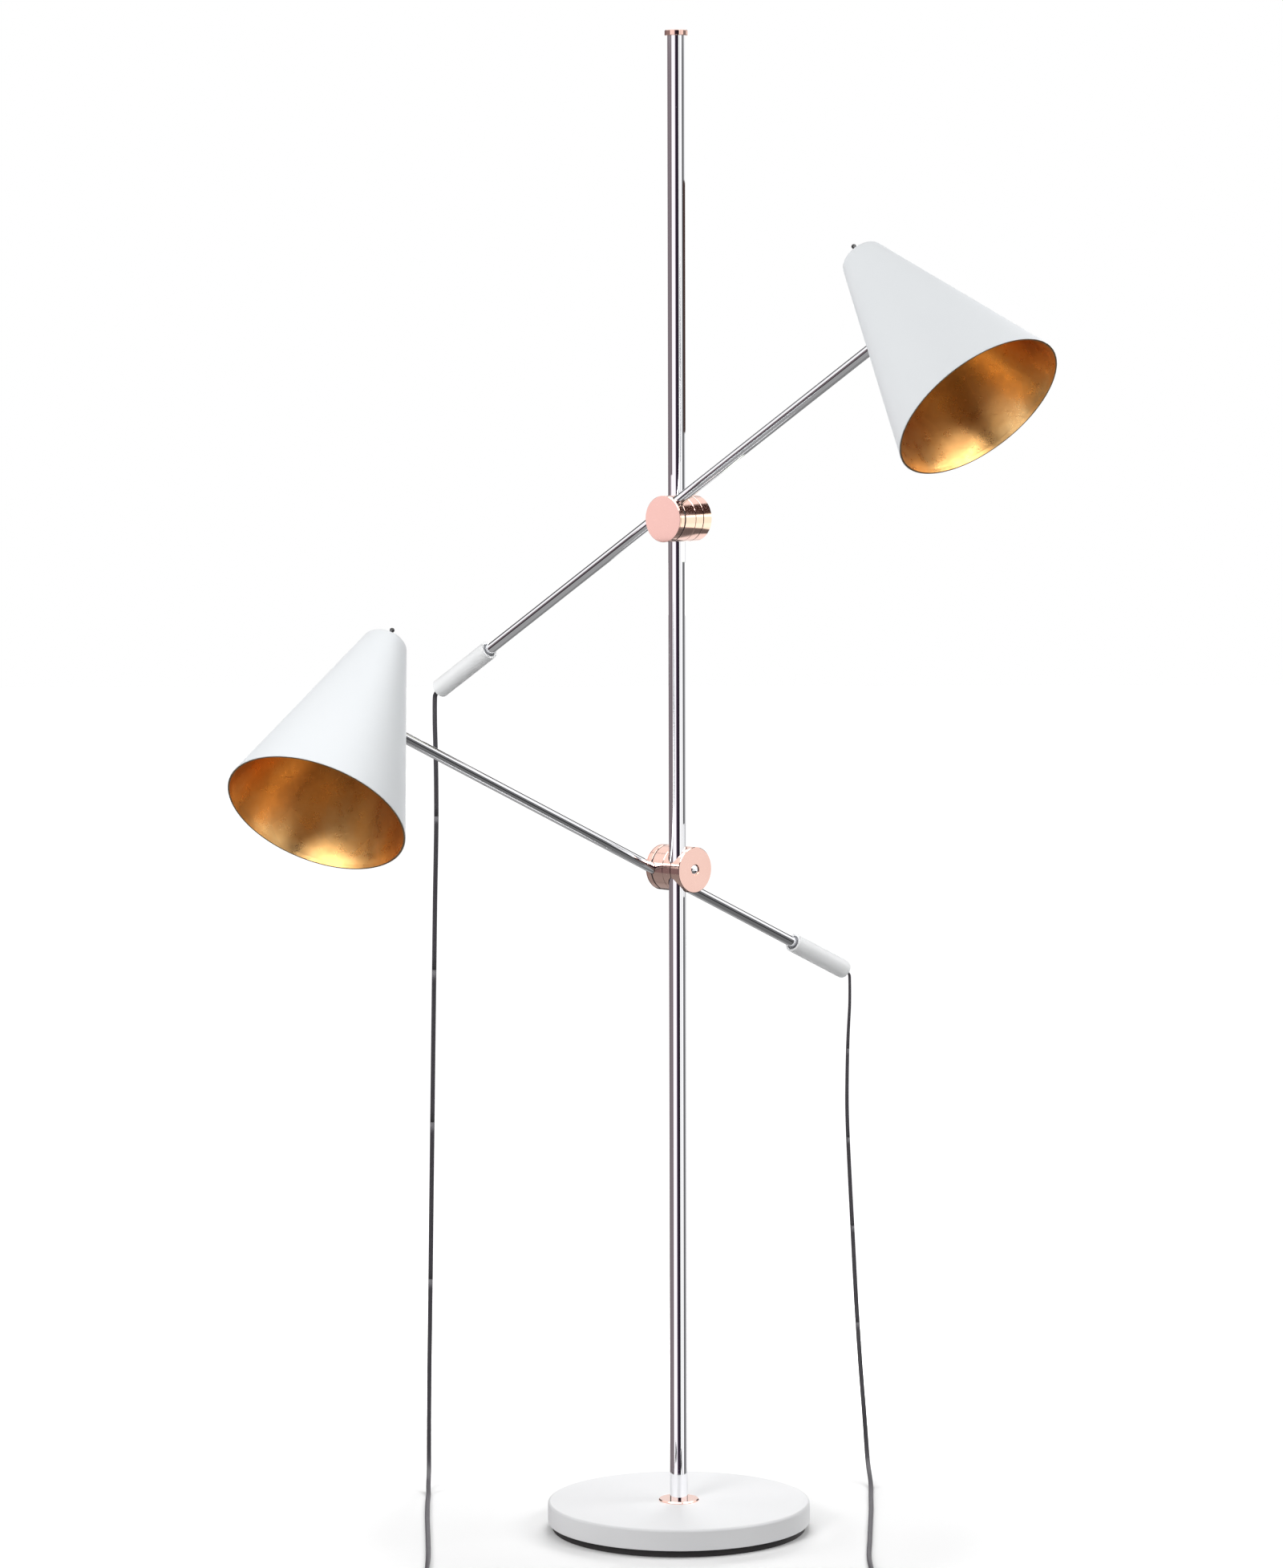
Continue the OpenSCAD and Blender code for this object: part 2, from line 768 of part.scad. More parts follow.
// Lever on a cross pin in the switch's neck
module toggle(side) {
    tip_r = toggle_d / 2;
    root_r = 1.1;
    tail_z = -1.4;
    color(black)
        at_shade(side)
            translate([0, 0, pivot_h]) {
                rotate([-toggle_lean, 0, 0])
                    rotate_extrude()
                        polygon(concat([[0, tail_z], [root_r, tail_z], [root_r, neck_h - pivot_h + 0.8],
                            [tip_r - 0.4, toggle_l - tip_r - 0.8]],
                            arc([0, toggle_l - tip_r], tip_r, 0, 90, 5)));
                rod_x(lever_pin_r, 0.4 - neck_d / 2, neck_d / 2 - 0.4);
            }
}

// Flex inside the arm, through the bracket's pin and up to the side of the holder
module inner_flex(side) {
    elbow_x = pin_end + 3;
    depth = arm_depth + elbow_x * cos(shade_lean);
    radius = -elbow_x * sin(shade_lean);
    rise = [holder_d / 2 + 1.02 * inner_flex_r - radius, depth - holder_top - 22];
    color(flex_grey) {
        at_shade_end(side)
            rod_x(inner_flex_r, tail, elbow_x + 1);
        at_shade(side)
            translate([-radius, 0, -depth])
                rotate([0, atan2(-rise[0], rise[1]), 0])
                    translate([0, 0, -1])
                        cylinder(r = 0.9 * inner_flex_r, h = norm(rise) + 1);
    }
}

// ---- cords --------------------------------------------------------------------

// Where a flex leaves its counterweight, and the direction from there along the arm
function side_sign(side) = side == UPPER ? 1 : -1;
function flat_way(side) = [cos(heading[side]), sin(heading[side]), 0];
function arm_way(side) =
    cos(tilt[side]) * flat_way(side) + [0, 0, sin(tilt[side])];
function flex_exit(side) =
    [0, 0, clamp_z[side]]
    + side_sign(side) * pole_offset * flat_way(side)
    + arm_to_pole * [sin(heading[side]), -cos(heading[side]), 0]
    + side_sign(side) * arm_offset
        * (cos(tilt[side]) * [0, 0, 1] - sin(tilt[side]) * flat_way(side))
    + (reach[side] + tail) * arm_way(side);

function route(side) = concat(
    [flex_exit(side), flex_exit(side) - flex_straight * arm_way(side)], laid_points[side]);

// Two stretches of a smooth curve between each pair of points
function midpoint(a, b, c, d) = (9 * (b + c) - a - d) / 16;
function smooth(p) = let (n = len(p) - 1) [
    for (i = [0:n - 1]) each [p[i], midpoint(p[max(i - 1, 0)], p[i], p[i + 1], p[min(i + 2, n)])],
    p[n]];
function tangent(p, i, first) =
    i == 0 ? first : unit(p[min(i + 1, len(p) - 1)] - p[i - 1]);

// Flat-sided ring of the flex across a direction, with its width level
function flex_ring(at, way) =
    let (wide = unit([1, 0, 0] - way[0] * way))
    let (thin = cross(way, wide))
    [for (q = flex_section) at + q[0] * wide + q[1] * thin];

module swept_flex(path, first) {
    sides = len(flex_section);
    rings = [for (i = [0:len(path) - 1]) each flex_ring(path[i], tangent(path, i, first))];
    walls = [for (i = [0:len(path) - 2], j = [0:sides - 1])
        let (a = i * sides + j, b = i * sides + (j + 1) % sides)
        each [[a, a + sides, b], [b, a + sides, b + sides]]];
    start = [for (j = [0:sides - 1]) j];
    end = [for (j = [sides - 1:-1:0]) (len(path) - 1) * sides + j];
    polyhedron(rings, concat(walls, [start, end]));
}

module cord(side) {
    color(flex_grey)
        swept_flex(smooth(route(side)), -arm_way(side));
}

module bundle_section(grow) {
    h = coil_h + 2 * grow;
    for (x = [-1, 1] * (coil_w - coil_h) / 2)
        translate([x, 0])
            circle(d = h);
    square([coil_w - coil_h, h], center = true);
}

module coil(side) {
    color(flex_grey)
        translate(coil_at[side])
            rotate_extrude()
                translate([coil_r, tie_t + coil_h / 2])
                    bundle_section(0);
}

module coil_ties() {
    color(black)
        for (side = [UPPER, LOWER])
            translate(coil_at[side])
                rotate([0, 0, side == UPPER ? 45 : 135])
                    translate([coil_r, 0, tie_t + coil_h / 2])
                        rotate([90, 0, 0])
                            linear_extrude(tie_l, center = true)
                                difference() {
                                    bundle_section(tie_t);
                                    bundle_section(0);
                                }
}

// Flat two-pin plug that lies beside the coil, its tail towards the coil
module plug(side) {
    tail_l = 22;
    body_l = 34;
    body_w = 27;
    body_h = 14;
    neck_r = 4.6;
    color(flex_grey)
        translate(coil_at[side] + [side_sign(side) * 0.7 * coil_r, -1.15 * coil_r, body_h / 2])
            rotate([0, 0, side == UPPER ? 0 : 180])
                union() {
                    rotate([0, 90, 0])
                        cylinder(r1 = flex_w / 2 + 0.4, r2 = neck_r, h = tail_l);
                    translate([tail_l, 0, 0])
                        linear_extrude(body_h, center = true)
                            polygon([[0, -neck_r], [9, -body_w / 2], [body_l, -body_w / 2],
                                [body_l, body_w / 2], [9, body_w / 2], [0, neck_r]]);
                    for (y = [-1, 1] * pin_pitch / 2)
                        translate([0, y, 0])
                            rod_x(pin_d / 2, tail_l + body_l - 3, tail_l + body_l + pin_l);
                }
}

// ---- the whole lamp -------------------------------------------------------------
base_cover();
base_weight();
base_pad();
rosette();
pole();
pole_insert();
base_bolt();
top_cap();
pole_liner(UPPER);  // upper_pole_liner
pole_jaw_outer(UPPER);  // upper_pole_jaw_outer
pole_jaw_inner(UPPER);  // upper_pole_jaw_inner
arm_jaw_inner(UPPER);  // upper_arm_jaw_inner
arm_gasket(UPPER);  // upper_arm_gasket
arm_jaw_outer(UPPER);  // upper_arm_jaw_outer
end_disc(UPPER);  // upper_end_disc
clamp_bolt(UPPER);  // upper_clamp_bolt
arm_liner(UPPER);  // upper_arm_liner
arm(UPPER);  // upper_arm
counterweight(UPPER);  // upper_counterweight
weight_ring(UPPER);  // upper_weight_ring
gland(UPPER);  // upper_gland
lock_screw(UPPER);  // upper_lock_screw
shade(UPPER);  // upper_shade
bracket(UPPER);  // upper_bracket
lamp_holder(UPPER);  // upper_lamp_holder
bulb(UPPER);  // upper_bulb
switch_body(UPPER);  // upper_switch_body
switch_nut(UPPER);  // upper_switch_nut
toggle(UPPER);  // upper_toggle
inner_flex(UPPER);  // upper_inner_flex
pole_liner(LOWER);  // lower_pole_liner
pole_jaw_outer(LOWER);  // lower_pole_jaw_outer
pole_jaw_inner(LOWER);  // lower_pole_jaw_inner
arm_jaw_inner(LOWER);  // lower_arm_jaw_inner
arm_gasket(LOWER);  // lower_arm_gasket
arm_jaw_outer(LOWER);  // lower_arm_jaw_outer
end_disc(LOWER);  // lower_end_disc
clamp_bolt(LOWER);  // lower_clamp_bolt
arm_liner(LOWER);  // lower_arm_liner
arm(LOWER);  // lower_arm
counterweight(LOWER);  // lower_counterweight
weight_ring(LOWER);  // lower_weight_ring
gland(LOWER);  // lower_gland
lock_screw(LOWER);  // lower_lock_screw
shade(LOWER);  // lower_shade
bracket(LOWER);  // lower_bracket
lamp_holder(LOWER);  // lower_lamp_holder
bulb(LOWER);  // lower_bulb
switch_body(LOWER);  // lower_switch_body
switch_nut(LOWER);  // lower_switch_nut
toggle(LOWER);  // lower_toggle
inner_flex(LOWER);  // lower_inner_flex
cord(UPPER);  // upper_cord
coil(UPPER);  // upper_coil
plug(UPPER);  // upper_plug
cord(LOWER);  // lower_cord
coil(LOWER);  // lower_coil
plug(LOWER);  // lower_plug
coil_ties();
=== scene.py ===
import math

import bpy
from mathutils import Matrix, Vector


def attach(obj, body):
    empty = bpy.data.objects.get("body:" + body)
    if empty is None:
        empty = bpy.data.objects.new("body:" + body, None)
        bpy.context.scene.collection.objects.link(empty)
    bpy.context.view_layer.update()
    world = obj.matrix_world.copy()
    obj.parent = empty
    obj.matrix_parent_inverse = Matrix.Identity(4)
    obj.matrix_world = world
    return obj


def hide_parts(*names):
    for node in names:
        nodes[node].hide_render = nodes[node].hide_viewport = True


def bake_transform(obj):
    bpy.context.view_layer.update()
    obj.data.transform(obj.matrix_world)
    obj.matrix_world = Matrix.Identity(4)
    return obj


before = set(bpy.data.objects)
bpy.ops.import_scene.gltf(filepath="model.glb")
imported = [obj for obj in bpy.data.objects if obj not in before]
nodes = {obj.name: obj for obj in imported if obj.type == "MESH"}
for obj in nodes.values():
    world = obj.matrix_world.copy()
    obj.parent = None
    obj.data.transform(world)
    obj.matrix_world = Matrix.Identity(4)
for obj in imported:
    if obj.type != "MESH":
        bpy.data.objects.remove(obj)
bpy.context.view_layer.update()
print("frame loaded,", len(nodes), "nodes")


# The two arms, as the part has them: metres and degrees
sides = {
    "upper": dict(z=1.1555, heading=-41.9, tilt=31.2, reach=0.410, spin=-2.0, flip=1),
    "lower": dict(z=0.757, heading=223.5, tilt=24.5, reach=0.502, spin=14.0, flip=-1),
}
lamp = dict(poleOffset=0.014, armOffset=0.0096, armToPole=0.031, armLength=0.824,
            shadeLean=75.0, armDepth=0.100)


def sideFrame(side):
    v = sides[side]
    turn, slope, spin = (math.radians(v[k]) for k in ("heading", "tilt", "spin"))
    flat = Vector((math.cos(turn), math.sin(turn), 0))
    across = Vector((math.sin(turn), -math.cos(turn), 0))
    up = Vector((0, 0, 1))
    along = math.cos(slope) * flat + math.sin(slope) * up
    normal = -math.sin(slope) * flat + math.cos(slope) * up
    bore = (v["z"] * up + v["flip"] * lamp["poleOffset"] * flat + lamp["armToPole"] * across
            + v["flip"] * lamp["armOffset"] * normal)
    lean = math.radians(lamp["shadeLean"])
    leaned = math.cos(spin) * normal + math.sin(spin) * across
    axisZ = -math.cos(lean) * along + math.sin(lean) * leaned
    axisX = math.sin(lean) * along + math.cos(lean) * leaned
    axisY = axisZ.cross(axisX)
    top = bore + v["reach"] * along + lamp["armDepth"] * axisZ
    shade = Matrix((axisX, axisY, axisZ)).transposed().to_4x4()
    shade.translation = top
    return dict(along=along, exit=bore + (v["reach"] - lamp["armLength"]) * along, shade=shade)


frames = {side: sideFrame(side) for side in sides}

# Camera
view = dict(place=(-0.0408, -5.611, 1.326), tilt=85.20, roll=-0.1425, lens=114.24, sensor=36.0)
cameraData = bpy.data.cameras.new("camera")
camera = bpy.data.objects.new("camera", cameraData)
bpy.context.scene.collection.objects.link(camera)
camera.matrix_world = (Matrix.Translation(view["place"]) @ Matrix.Rotation(math.radians(view["tilt"]), 4, "X")
                       @ Matrix.Rotation(math.radians(view["roll"]), 4, "Z"))
cameraData.lens = view["lens"]
cameraData.sensor_width = view["sensor"]
bpy.context.scene.camera = camera
bpy.context.scene.view_settings.view_transform = "Standard"
print("camera placed")


# Pieces are built as plain meshes in world metres
def newObject(name, verts, faces, smooth=True):
    mesh = bpy.data.meshes.new(name)
    mesh.from_pydata([tuple(v) for v in verts], [], faces)
    mesh.validate()
    mesh.update()
    if smooth:
        mesh.shade_smooth()
    obj = bpy.data.objects.new(name, mesh)
    bpy.context.scene.collection.objects.link(obj)
    return obj


# Cords: the part's route in millimetres, refined, then the turns of the coil
cordValues = dict(
    width=0.0054, thickness=0.0030, facets=16, roundness=2.6, waist=0.07, waistWidth=0.22,
    exitStraight=0.0025, refine=3, steep=0.6,
    floorZone=0.02, edgeSteps=26, clearance=0.0001,  # near the floor the flat flex turns on edge
    landing=0.06,
    coilRadii=(0.0345, 0.0310, 0.0275, 0.0240), coilStep=6, lowTurn=0.0038, highTurn=0.0093,
    shift=0.22, wobble=0.00035,
    tail=((0.008, 0.0004), (0.016, 0.0013), (0.024, 0.0022), (0.031, 0.0023)))  # on past the coil, down
cordRoutes = {
    "upper": dict(
        points=[(-282, 212, 943), (-283, 213, 936), (-283, 211, 905), (-282, 209, 860),
                (-282, 209, 790), (-284, 209, 700), (-286, 209, 590), (-288, 209, 480),
                (-290, 209, 365), (-292, 209, 250), (-294, 209, 140), (-295, 209, 60),
                (-295, 203, 24), (-295, 186, 8), (-294, 163, 2), (-293, 120, 2), (-290, 40, 2),
                (-285, -60, 2), (-281, -150, 2), (-280, -220, 2), (-281.5, -283, 2)],
        cuts=(0.80, 0.62, 0.44, 0.26), centre=(-0.247, -0.295), start=math.pi, way=1,
        columns=3, twist=((1.0, 0.0), (0.0, 0.0))),
    "lower": dict(
        points=[(204, 236, 609), (205, 237, 602), (205, 238, 570), (203, 238, 528),
                (202, 238, 452), (205, 238, 375), (209, 238, 298), (213, 238, 221),
                (218, 238, 144), (223, 238, 80), (225, 238, 52), (227, 232, 24), (229, 215, 8),
                (229, 192, 2), (227, 150, 2), (224, 80, 2), (220, 10, 2), (215, -80, 2),
                (211, -150, 2), (211, -220, 2), (215.5, -283, 2)],
        cuts=(0.52, 0.42, 0.31, 0.20), centre=(0.181, -0.295), start=0.0, way=-1,
        columns=4, twist=((0.60, 78.0), (0.45, 52.0), (0.20, 30.0), (0.03, 0.0))),
}


def refined(points, rounds):  # keeps every point and adds a smooth one between each two
    for _ in range(rounds):
        n = len(points) - 1
        finer = []
        for i in range(n):
            a, d = points[max(i - 1, 0)], points[min(i + 2, n)]
            finer += [points[i], (9 * (points[i] + points[i + 1]) - a - d) / 16]
        points = finer + [points[n]]
    return points


def coilTurns(route):  # inward in the low layer, outward in the high one, then a straight tail
    values = cordValues
    radii = values["coilRadii"][:route["columns"]]
    turns = [(r, values["lowTurn"]) for r in radii]
    turns += [(r, values["highTurn"]) for r in reversed(radii)]
    turns.append(turns[-1])
    points = []
    total = 360 * (len(turns) - 1) + 90
    for angle in range(0, total + 1, values["coilStep"]):
        index = min(angle // 360, len(turns) - 1)
        part = (angle % 360) / 360
        here, after = turns[index], turns[min(index + 1, len(turns) - 1)]
        t = max(0.0, (part - (1 - values["shift"])) / values["shift"])
        t = t * t * (3 - 2 * t)
        radius = here[0] + (after[0] - here[0]) * t
        height = here[1] + (after[1] - here[1]) * t
        radius += values["wobble"] * math.sin(math.radians(3 * angle))
        turn = route["start"] + route["way"] * math.radians(angle)
        points.append(Vector((route["centre"][0] + radius * math.cos(turn),
                              route["centre"][1] + radius * math.sin(turn), height)))
    last = points[-1]
    for step, drop in values["tail"]:
        points.append(last + Vector((route["way"] * step, 0, -drop)))
    return points


def twistAt(route, height):  # degrees that the flat flex is turned at a height
    table = route["twist"]
    if height >= table[0][0]:
        return table[0][1]
    for (z0, a0), (z1, a1) in zip(table, table[1:]):
        if z1 <= height <= z0:
            return a1 + (a0 - a1) * (height - z1) / (z0 - z1)
    return table[-1][1]


def wayAt(path, i):
    return (path[min(i + 1, len(path) - 1)] - path[max(i - 1, 0)]).normalized()


def flexSection():
    values = cordValues
    half, thin, power = values["width"] / 2, values["thickness"] / 2, 2 / values["roundness"]
    ring = []
    for k in range(values["facets"]):
        t = 2 * math.pi * k / values["facets"]
        c, s = math.cos(t), math.sin(t)
        waist = 1 - values["waist"] * math.exp(-(c / values["waistWidth"]) ** 2)
        ring.append((half * math.copysign(abs(c) ** power, c),
                     thin * waist * math.copysign(abs(s) ** power, s)))
    return ring


def flexTube(name, path, wides):
    ring, facets = flexSection(), cordValues["facets"]
    verts, faces = [], []
    for i, (point, wide) in enumerate(zip(path, wides)):
        way = wayAt(path, i)
        wide = (wide - wide.dot(way) * way).normalized()
        across = way.cross(wide)
        verts += [point + x * wide + y * across for x, y in ring]
    for i in range(len(path) - 1):
        for k in range(facets):
            a, b = i * facets + k, i * facets + (k + 1) % facets
            faces.append((a, b, b + facets, a + facets))
    faces.append(tuple(reversed(range(facets))))
    faces.append(tuple(range((len(path) - 1) * facets, len(path) * facets)))
    return newObject(name, verts, faces)


def cordPath(side):
    values, route = cordValues, cordRoutes[side]
    leave = frames[side]["exit"]
    rough = [leave, leave - values["exitStraight"] * frames[side]["along"]]
    rough += [Vector(p) / 1000 for p in route["points"]]
    path = refined(rough, values["refine"])
    straight = len(path)
    path += coilTurns(route)[1:]
    wides = []
    for i, point in enumerate(path):
        way = wayAt(path, i)
        if i < straight and abs(way.z) > values["steep"]:
            level = Vector((1, 0, 0))
            level = (level - level.dot(way) * way).normalized()
        else:
            level = Vector((0, 0, 1)).cross(way).normalized()
        angle = twistAt(route, point.z)
        if point.z < values["floorZone"]:
            before = straight - 1 - i
            angle = 90 if before <= 0 else 90 * max(0.0, 1 - before / values["edgeSteps"]) ** 2
        angle = math.radians(angle)
        wides.append(math.cos(angle) * level + math.sin(angle) * way.cross(level))
        if point.z < values["floorZone"]:
            tall = abs(math.cos(angle)) * values["thickness"] + abs(math.sin(angle)) * values["width"]
            point.z = max(point.z, tall / 2 + values["clearance"])
    return path, wides


def pathLength(path):
    return sum((b - a).length for a, b in zip(path, path[1:]))


bodyChain = ("light", "bush", "swivel", "collar", "sleeve")  # one piece of cord is made for each body in turn


def makeCord(side):
    path, wides = cordPath(side)
    marks = [0]
    for cut in cordRoutes[side]["cuts"]:
        marks.append(next(i for i, p in enumerate(path) if p.z < cut))
    marks.append(len(path) - 1)
    pieces = []
    for k, body in enumerate(bodyChain):
        part = path[marks[k]:marks[k + 1] + 1]
        piece = flexTube(f"{side}Flex{k + 1}", part, wides[marks[k]:marks[k + 1] + 1])
        last = k == len(bodyChain) - 1
        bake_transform(piece)
        if last:
            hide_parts(f"{side}_cord", f"{side}_coil")
        pieces.append(piece)
    print(side, "cord", round(pathLength(path), 3), "m")
    return pieces


cordPieces = [piece for side in sides for piece in makeCord(side)]


# Shared effects: inputs are named, or i0, i1 and so on where a node repeats a name
def join(tree, value, socket):
    if isinstance(value, bpy.types.NodeSocket):
        tree.links.new(value, socket)
    else:
        socket.default_value = value


def addNode(tree, kind, settings=None, **inputs):
    made = tree.nodes.new(kind)
    for key, value in (settings or {}).items():
        setattr(made, key, value)
    for key, value in inputs.items():
        byNumber = key[0] == "i" and key[1:].isdigit()
        join(tree, value, made.inputs[int(key[1:]) if byNumber else key.replace("_", " ")])
    return made


def mathNode(tree, operation, *values, clamp=False):
    numbered = {f"i{k}": value for k, value in enumerate(values)}
    return addNode(tree, "ShaderNodeMath", {"operation": operation, "use_clamp": clamp}, **numbered).outputs[0]


def mixColours(tree, share, first, second):
    return addNode(tree, "ShaderNodeMix", {"data_type": "RGBA"}, Factor=share, i6=first, i7=second).outputs[2]


def newGroup(name, inputs, outputs):
    group = bpy.data.node_groups.new(name, "ShaderNodeTree")
    for label, kind, value in inputs:
        socket = group.interface.new_socket(label, in_out="INPUT", socket_type=kind)
        if value is not None:
            socket.default_value = value
    for label, kind in outputs:
        group.interface.new_socket(label, in_out="OUTPUT", socket_type=kind)
    return group, group.nodes.new("NodeGroupInput"), group.nodes.new("NodeGroupOutput")


floatSocket, vectorSocket = "NodeSocketFloat", "NodeSocketVector"


def makeGrainGroup():
    group, ins, outs = newGroup("surfaceGrain", [
        ("Scale", floatSocket, 800.0), ("Height", floatSocket, 0.00002), ("Wave Scale", floatSocket, 30.0),
        ("Wave Height", floatSocket, 0.00002)], [("Normal", vectorSocket)])
    place = addNode(group, "ShaderNodeTexCoord").outputs["Object"]
    wave = addNode(group, "ShaderNodeTexNoise", Vector=place, Scale=ins.outputs["Wave Scale"], Detail=2.0)
    fine = addNode(group, "ShaderNodeTexNoise", Vector=place, Scale=ins.outputs["Scale"], Detail=3.0)
    low = addNode(group, "ShaderNodeBump", Strength=1.0, Distance=ins.outputs["Wave Height"],
                  Height=wave.outputs["Fac"])
    high = addNode(group, "ShaderNodeBump", Strength=1.0, Distance=ins.outputs["Height"],
                   Height=fine.outputs["Fac"], Normal=low.outputs["Normal"])
    group.links.new(high.outputs["Normal"], outs.inputs["Normal"])
    return group


def makeHandledGroup():
    group, ins, outs = newGroup("handledRoughness", [
        ("Roughness", floatSocket, 0.3), ("Smudge", floatSocket, 0.1), ("Scale", floatSocket, 25.0),
        ("Speck", floatSocket, 0.03)], [("Roughness", floatSocket)])
    place = addNode(group, "ShaderNodeTexCoord").outputs["Object"]
    broad = addNode(group, "ShaderNodeTexNoise", Vector=place, Scale=ins.outputs["Scale"], Detail=5.0,
                    Roughness=0.6)
    fine = addNode(group, "ShaderNodeTexNoise", Vector=place, Scale=900.0, Detail=2.0)
    shares = []
    for noise, amount in ((broad, "Smudge"), (fine, "Speck")):
        middle = mathNode(group, "SUBTRACT", noise.outputs["Fac"], 0.5)
        shares.append(mathNode(group, "MULTIPLY", middle, ins.outputs[amount]))
    both = mathNode(group, "ADD", *shares)
    result = mathNode(group, "ADD", both, ins.outputs["Roughness"], clamp=True)
    group.links.new(result, outs.inputs["Roughness"])
    return group


def makeTintGroup():
    group, ins, outs = newGroup("colourDrift", [
        ("Light", "NodeSocketColor", (0.8, 0.8, 0.8, 1)), ("Dark", "NodeSocketColor", (0.7, 0.7, 0.7, 1)),
        ("Scale", floatSocket, 8.0), ("Contrast", floatSocket, 1.0)], [("Color", "NodeSocketColor")])
    place = addNode(group, "ShaderNodeTexCoord").outputs["Object"]
    noise = addNode(group, "ShaderNodeTexNoise", Vector=place, Scale=ins.outputs["Scale"], Detail=6.0,
                    Roughness=0.62)
    middle = mathNode(group, "SUBTRACT", noise.outputs["Fac"], 0.5)
    share = mathNode(group, "MULTIPLY_ADD", middle, ins.outputs["Contrast"], 0.5, clamp=True)
    group.links.new(mixColours(group, share, ins.outputs["Light"], ins.outputs["Dark"]), outs.inputs["Color"])
    return group


grainGroup, handledGroup, tintGroup = makeGrainGroup(), makeHandledGroup(), makeTintGroup()


def useGroup(tree, group, **inputs):
    made = tree.nodes.new("ShaderNodeGroup")
    made.node_tree = group
    for key, value in inputs.items():
        join(tree, value, made.inputs[key.replace("_", " ")])
    return made


def finish(name, values):
    material = bpy.data.materials.new(name)
    material.use_nodes = True
    tree = material.node_tree
    shader = tree.nodes["Principled BSDF"]
    shader.inputs["Metallic"].default_value = values.get("metal", 0.0)
    shader.inputs["IOR"].default_value = values.get("ior", 1.5)
    shader.inputs["Specular IOR Level"].default_value = values.get("specular", 0.5)
    shader.inputs["Coat Weight"].default_value = values.get("coat", 0.0)
    shader.inputs["Coat Roughness"].default_value = values.get("coatRoughness", 0.1)
    tint = useGroup(tree, tintGroup, Light=(*values["light"], 1), Dark=(*values["dark"], 1),
                    Scale=values.get("driftScale", 10.0), Contrast=values.get("drift", 1.5))
    rough = useGroup(tree, handledGroup, Roughness=values["rough"], Smudge=values.get("smudge", 0.08),
                     Scale=values.get("smudgeScale", 25.0), Speck=values.get("speck", 0.02))
    height = values.get("grainHeight", 0.00001)
    if height:
        grain = useGroup(tree, grainGroup, Scale=values.get("grain", 900.0), Height=height,
                         Wave_Scale=values.get("wave", 30.0), Wave_Height=values.get("waveHeight", 0.0))
        tree.links.new(grain.outputs["Normal"], shader.inputs["Normal"])
    tree.links.new(tint.outputs["Color"], shader.inputs["Base Color"])
    tree.links.new(rough.outputs["Roughness"], shader.inputs["Roughness"])
    return material


# Finishes: light and dark tones that drift over the surface, roughness with smudges, and a fine grain
finishes = {
    "copper": dict(metal=1.0, light=(0.93, 0.64, 0.56), dark=(0.88, 0.57, 0.48), driftScale=14.0, drift=1.2,
                   rough=0.12, smudge=0.05, speck=0.0, grainHeight=0),
    "copperCap": dict(metal=1.0, light=(0.93, 0.64, 0.56), dark=(0.88, 0.57, 0.48), driftScale=14.0, drift=1.2,
                      rough=0.05, smudge=0.03, speck=0.0, grainHeight=0),
    "chrome": dict(metal=1.0, light=(0.93, 0.93, 0.95), dark=(0.88, 0.88, 0.90), driftScale=9.0,
                   rough=0.05, smudge=0.02, speck=0.0, grainHeight=0),
    "steel": dict(metal=1.0, light=(0.62, 0.62, 0.63), dark=(0.50, 0.50, 0.52), driftScale=40.0,
                  rough=0.38, smudge=0.15, grain=700.0, grainHeight=0.00002),
    "basePaint": dict(light=(0.80, 0.80, 0.81), dark=(0.77, 0.775, 0.785), driftScale=7.0, rough=0.42,
                      smudge=0.06, grain=1500.0, grainHeight=0.000001, specular=0.35, coat=0.1,
                      coatRoughness=0.35),
    "weightPaint": dict(light=(0.94, 0.95, 0.955), dark=(0.91, 0.92, 0.925), driftScale=20.0, rough=0.38,
                        speck=0.0, grainHeight=0),
    "footRubber": dict(light=(0.012, 0.011, 0.011), dark=(0.02, 0.018, 0.018), rough=0.62, smudge=0.2,
                       grain=1200.0, grainHeight=0.00004),
    "castIron": dict(metal=0.6, light=(0.10, 0.10, 0.105), dark=(0.05, 0.05, 0.055), rough=0.6,
                     grain=500.0, grainHeight=0.0002),
    "gasket": dict(light=(0.012, 0.012, 0.013), dark=(0.022, 0.022, 0.023), rough=0.6,
                   grain=1500.0, grainHeight=0.00002),
    "nylon": dict(light=(0.03, 0.03, 0.032), dark=(0.02, 0.02, 0.021), rough=0.45, grain=900.0,
                  grainHeight=0.00001),
    "greyRing": dict(light=(0.22, 0.225, 0.235), dark=(0.17, 0.175, 0.185), driftScale=60.0, rough=0.4,
                     grain=900.0, grainHeight=0.00002),
    "blackPlastic": dict(light=(0.014, 0.014, 0.015), dark=(0.022, 0.022, 0.023), rough=0.28,
                         smudge=0.15, grain=1200.0, grainHeight=0.00001),
    "frostedBulb": dict(light=(0.86, 0.86, 0.83), dark=(0.80, 0.80, 0.78), rough=0.35, smudge=0.05,
                        grain=1800.0, grainHeight=0.00001),
    "flexCover": dict(light=(0.060, 0.056, 0.064), dark=(0.042, 0.039, 0.045), driftScale=45.0, rough=0.44,
                      smudge=0.14, grain=1600.0, grainHeight=0.00003, wave=140.0, waveHeight=0.00008),
}
materials = {name: finish(name, values) for name, values in finishes.items()}
print("materials made")

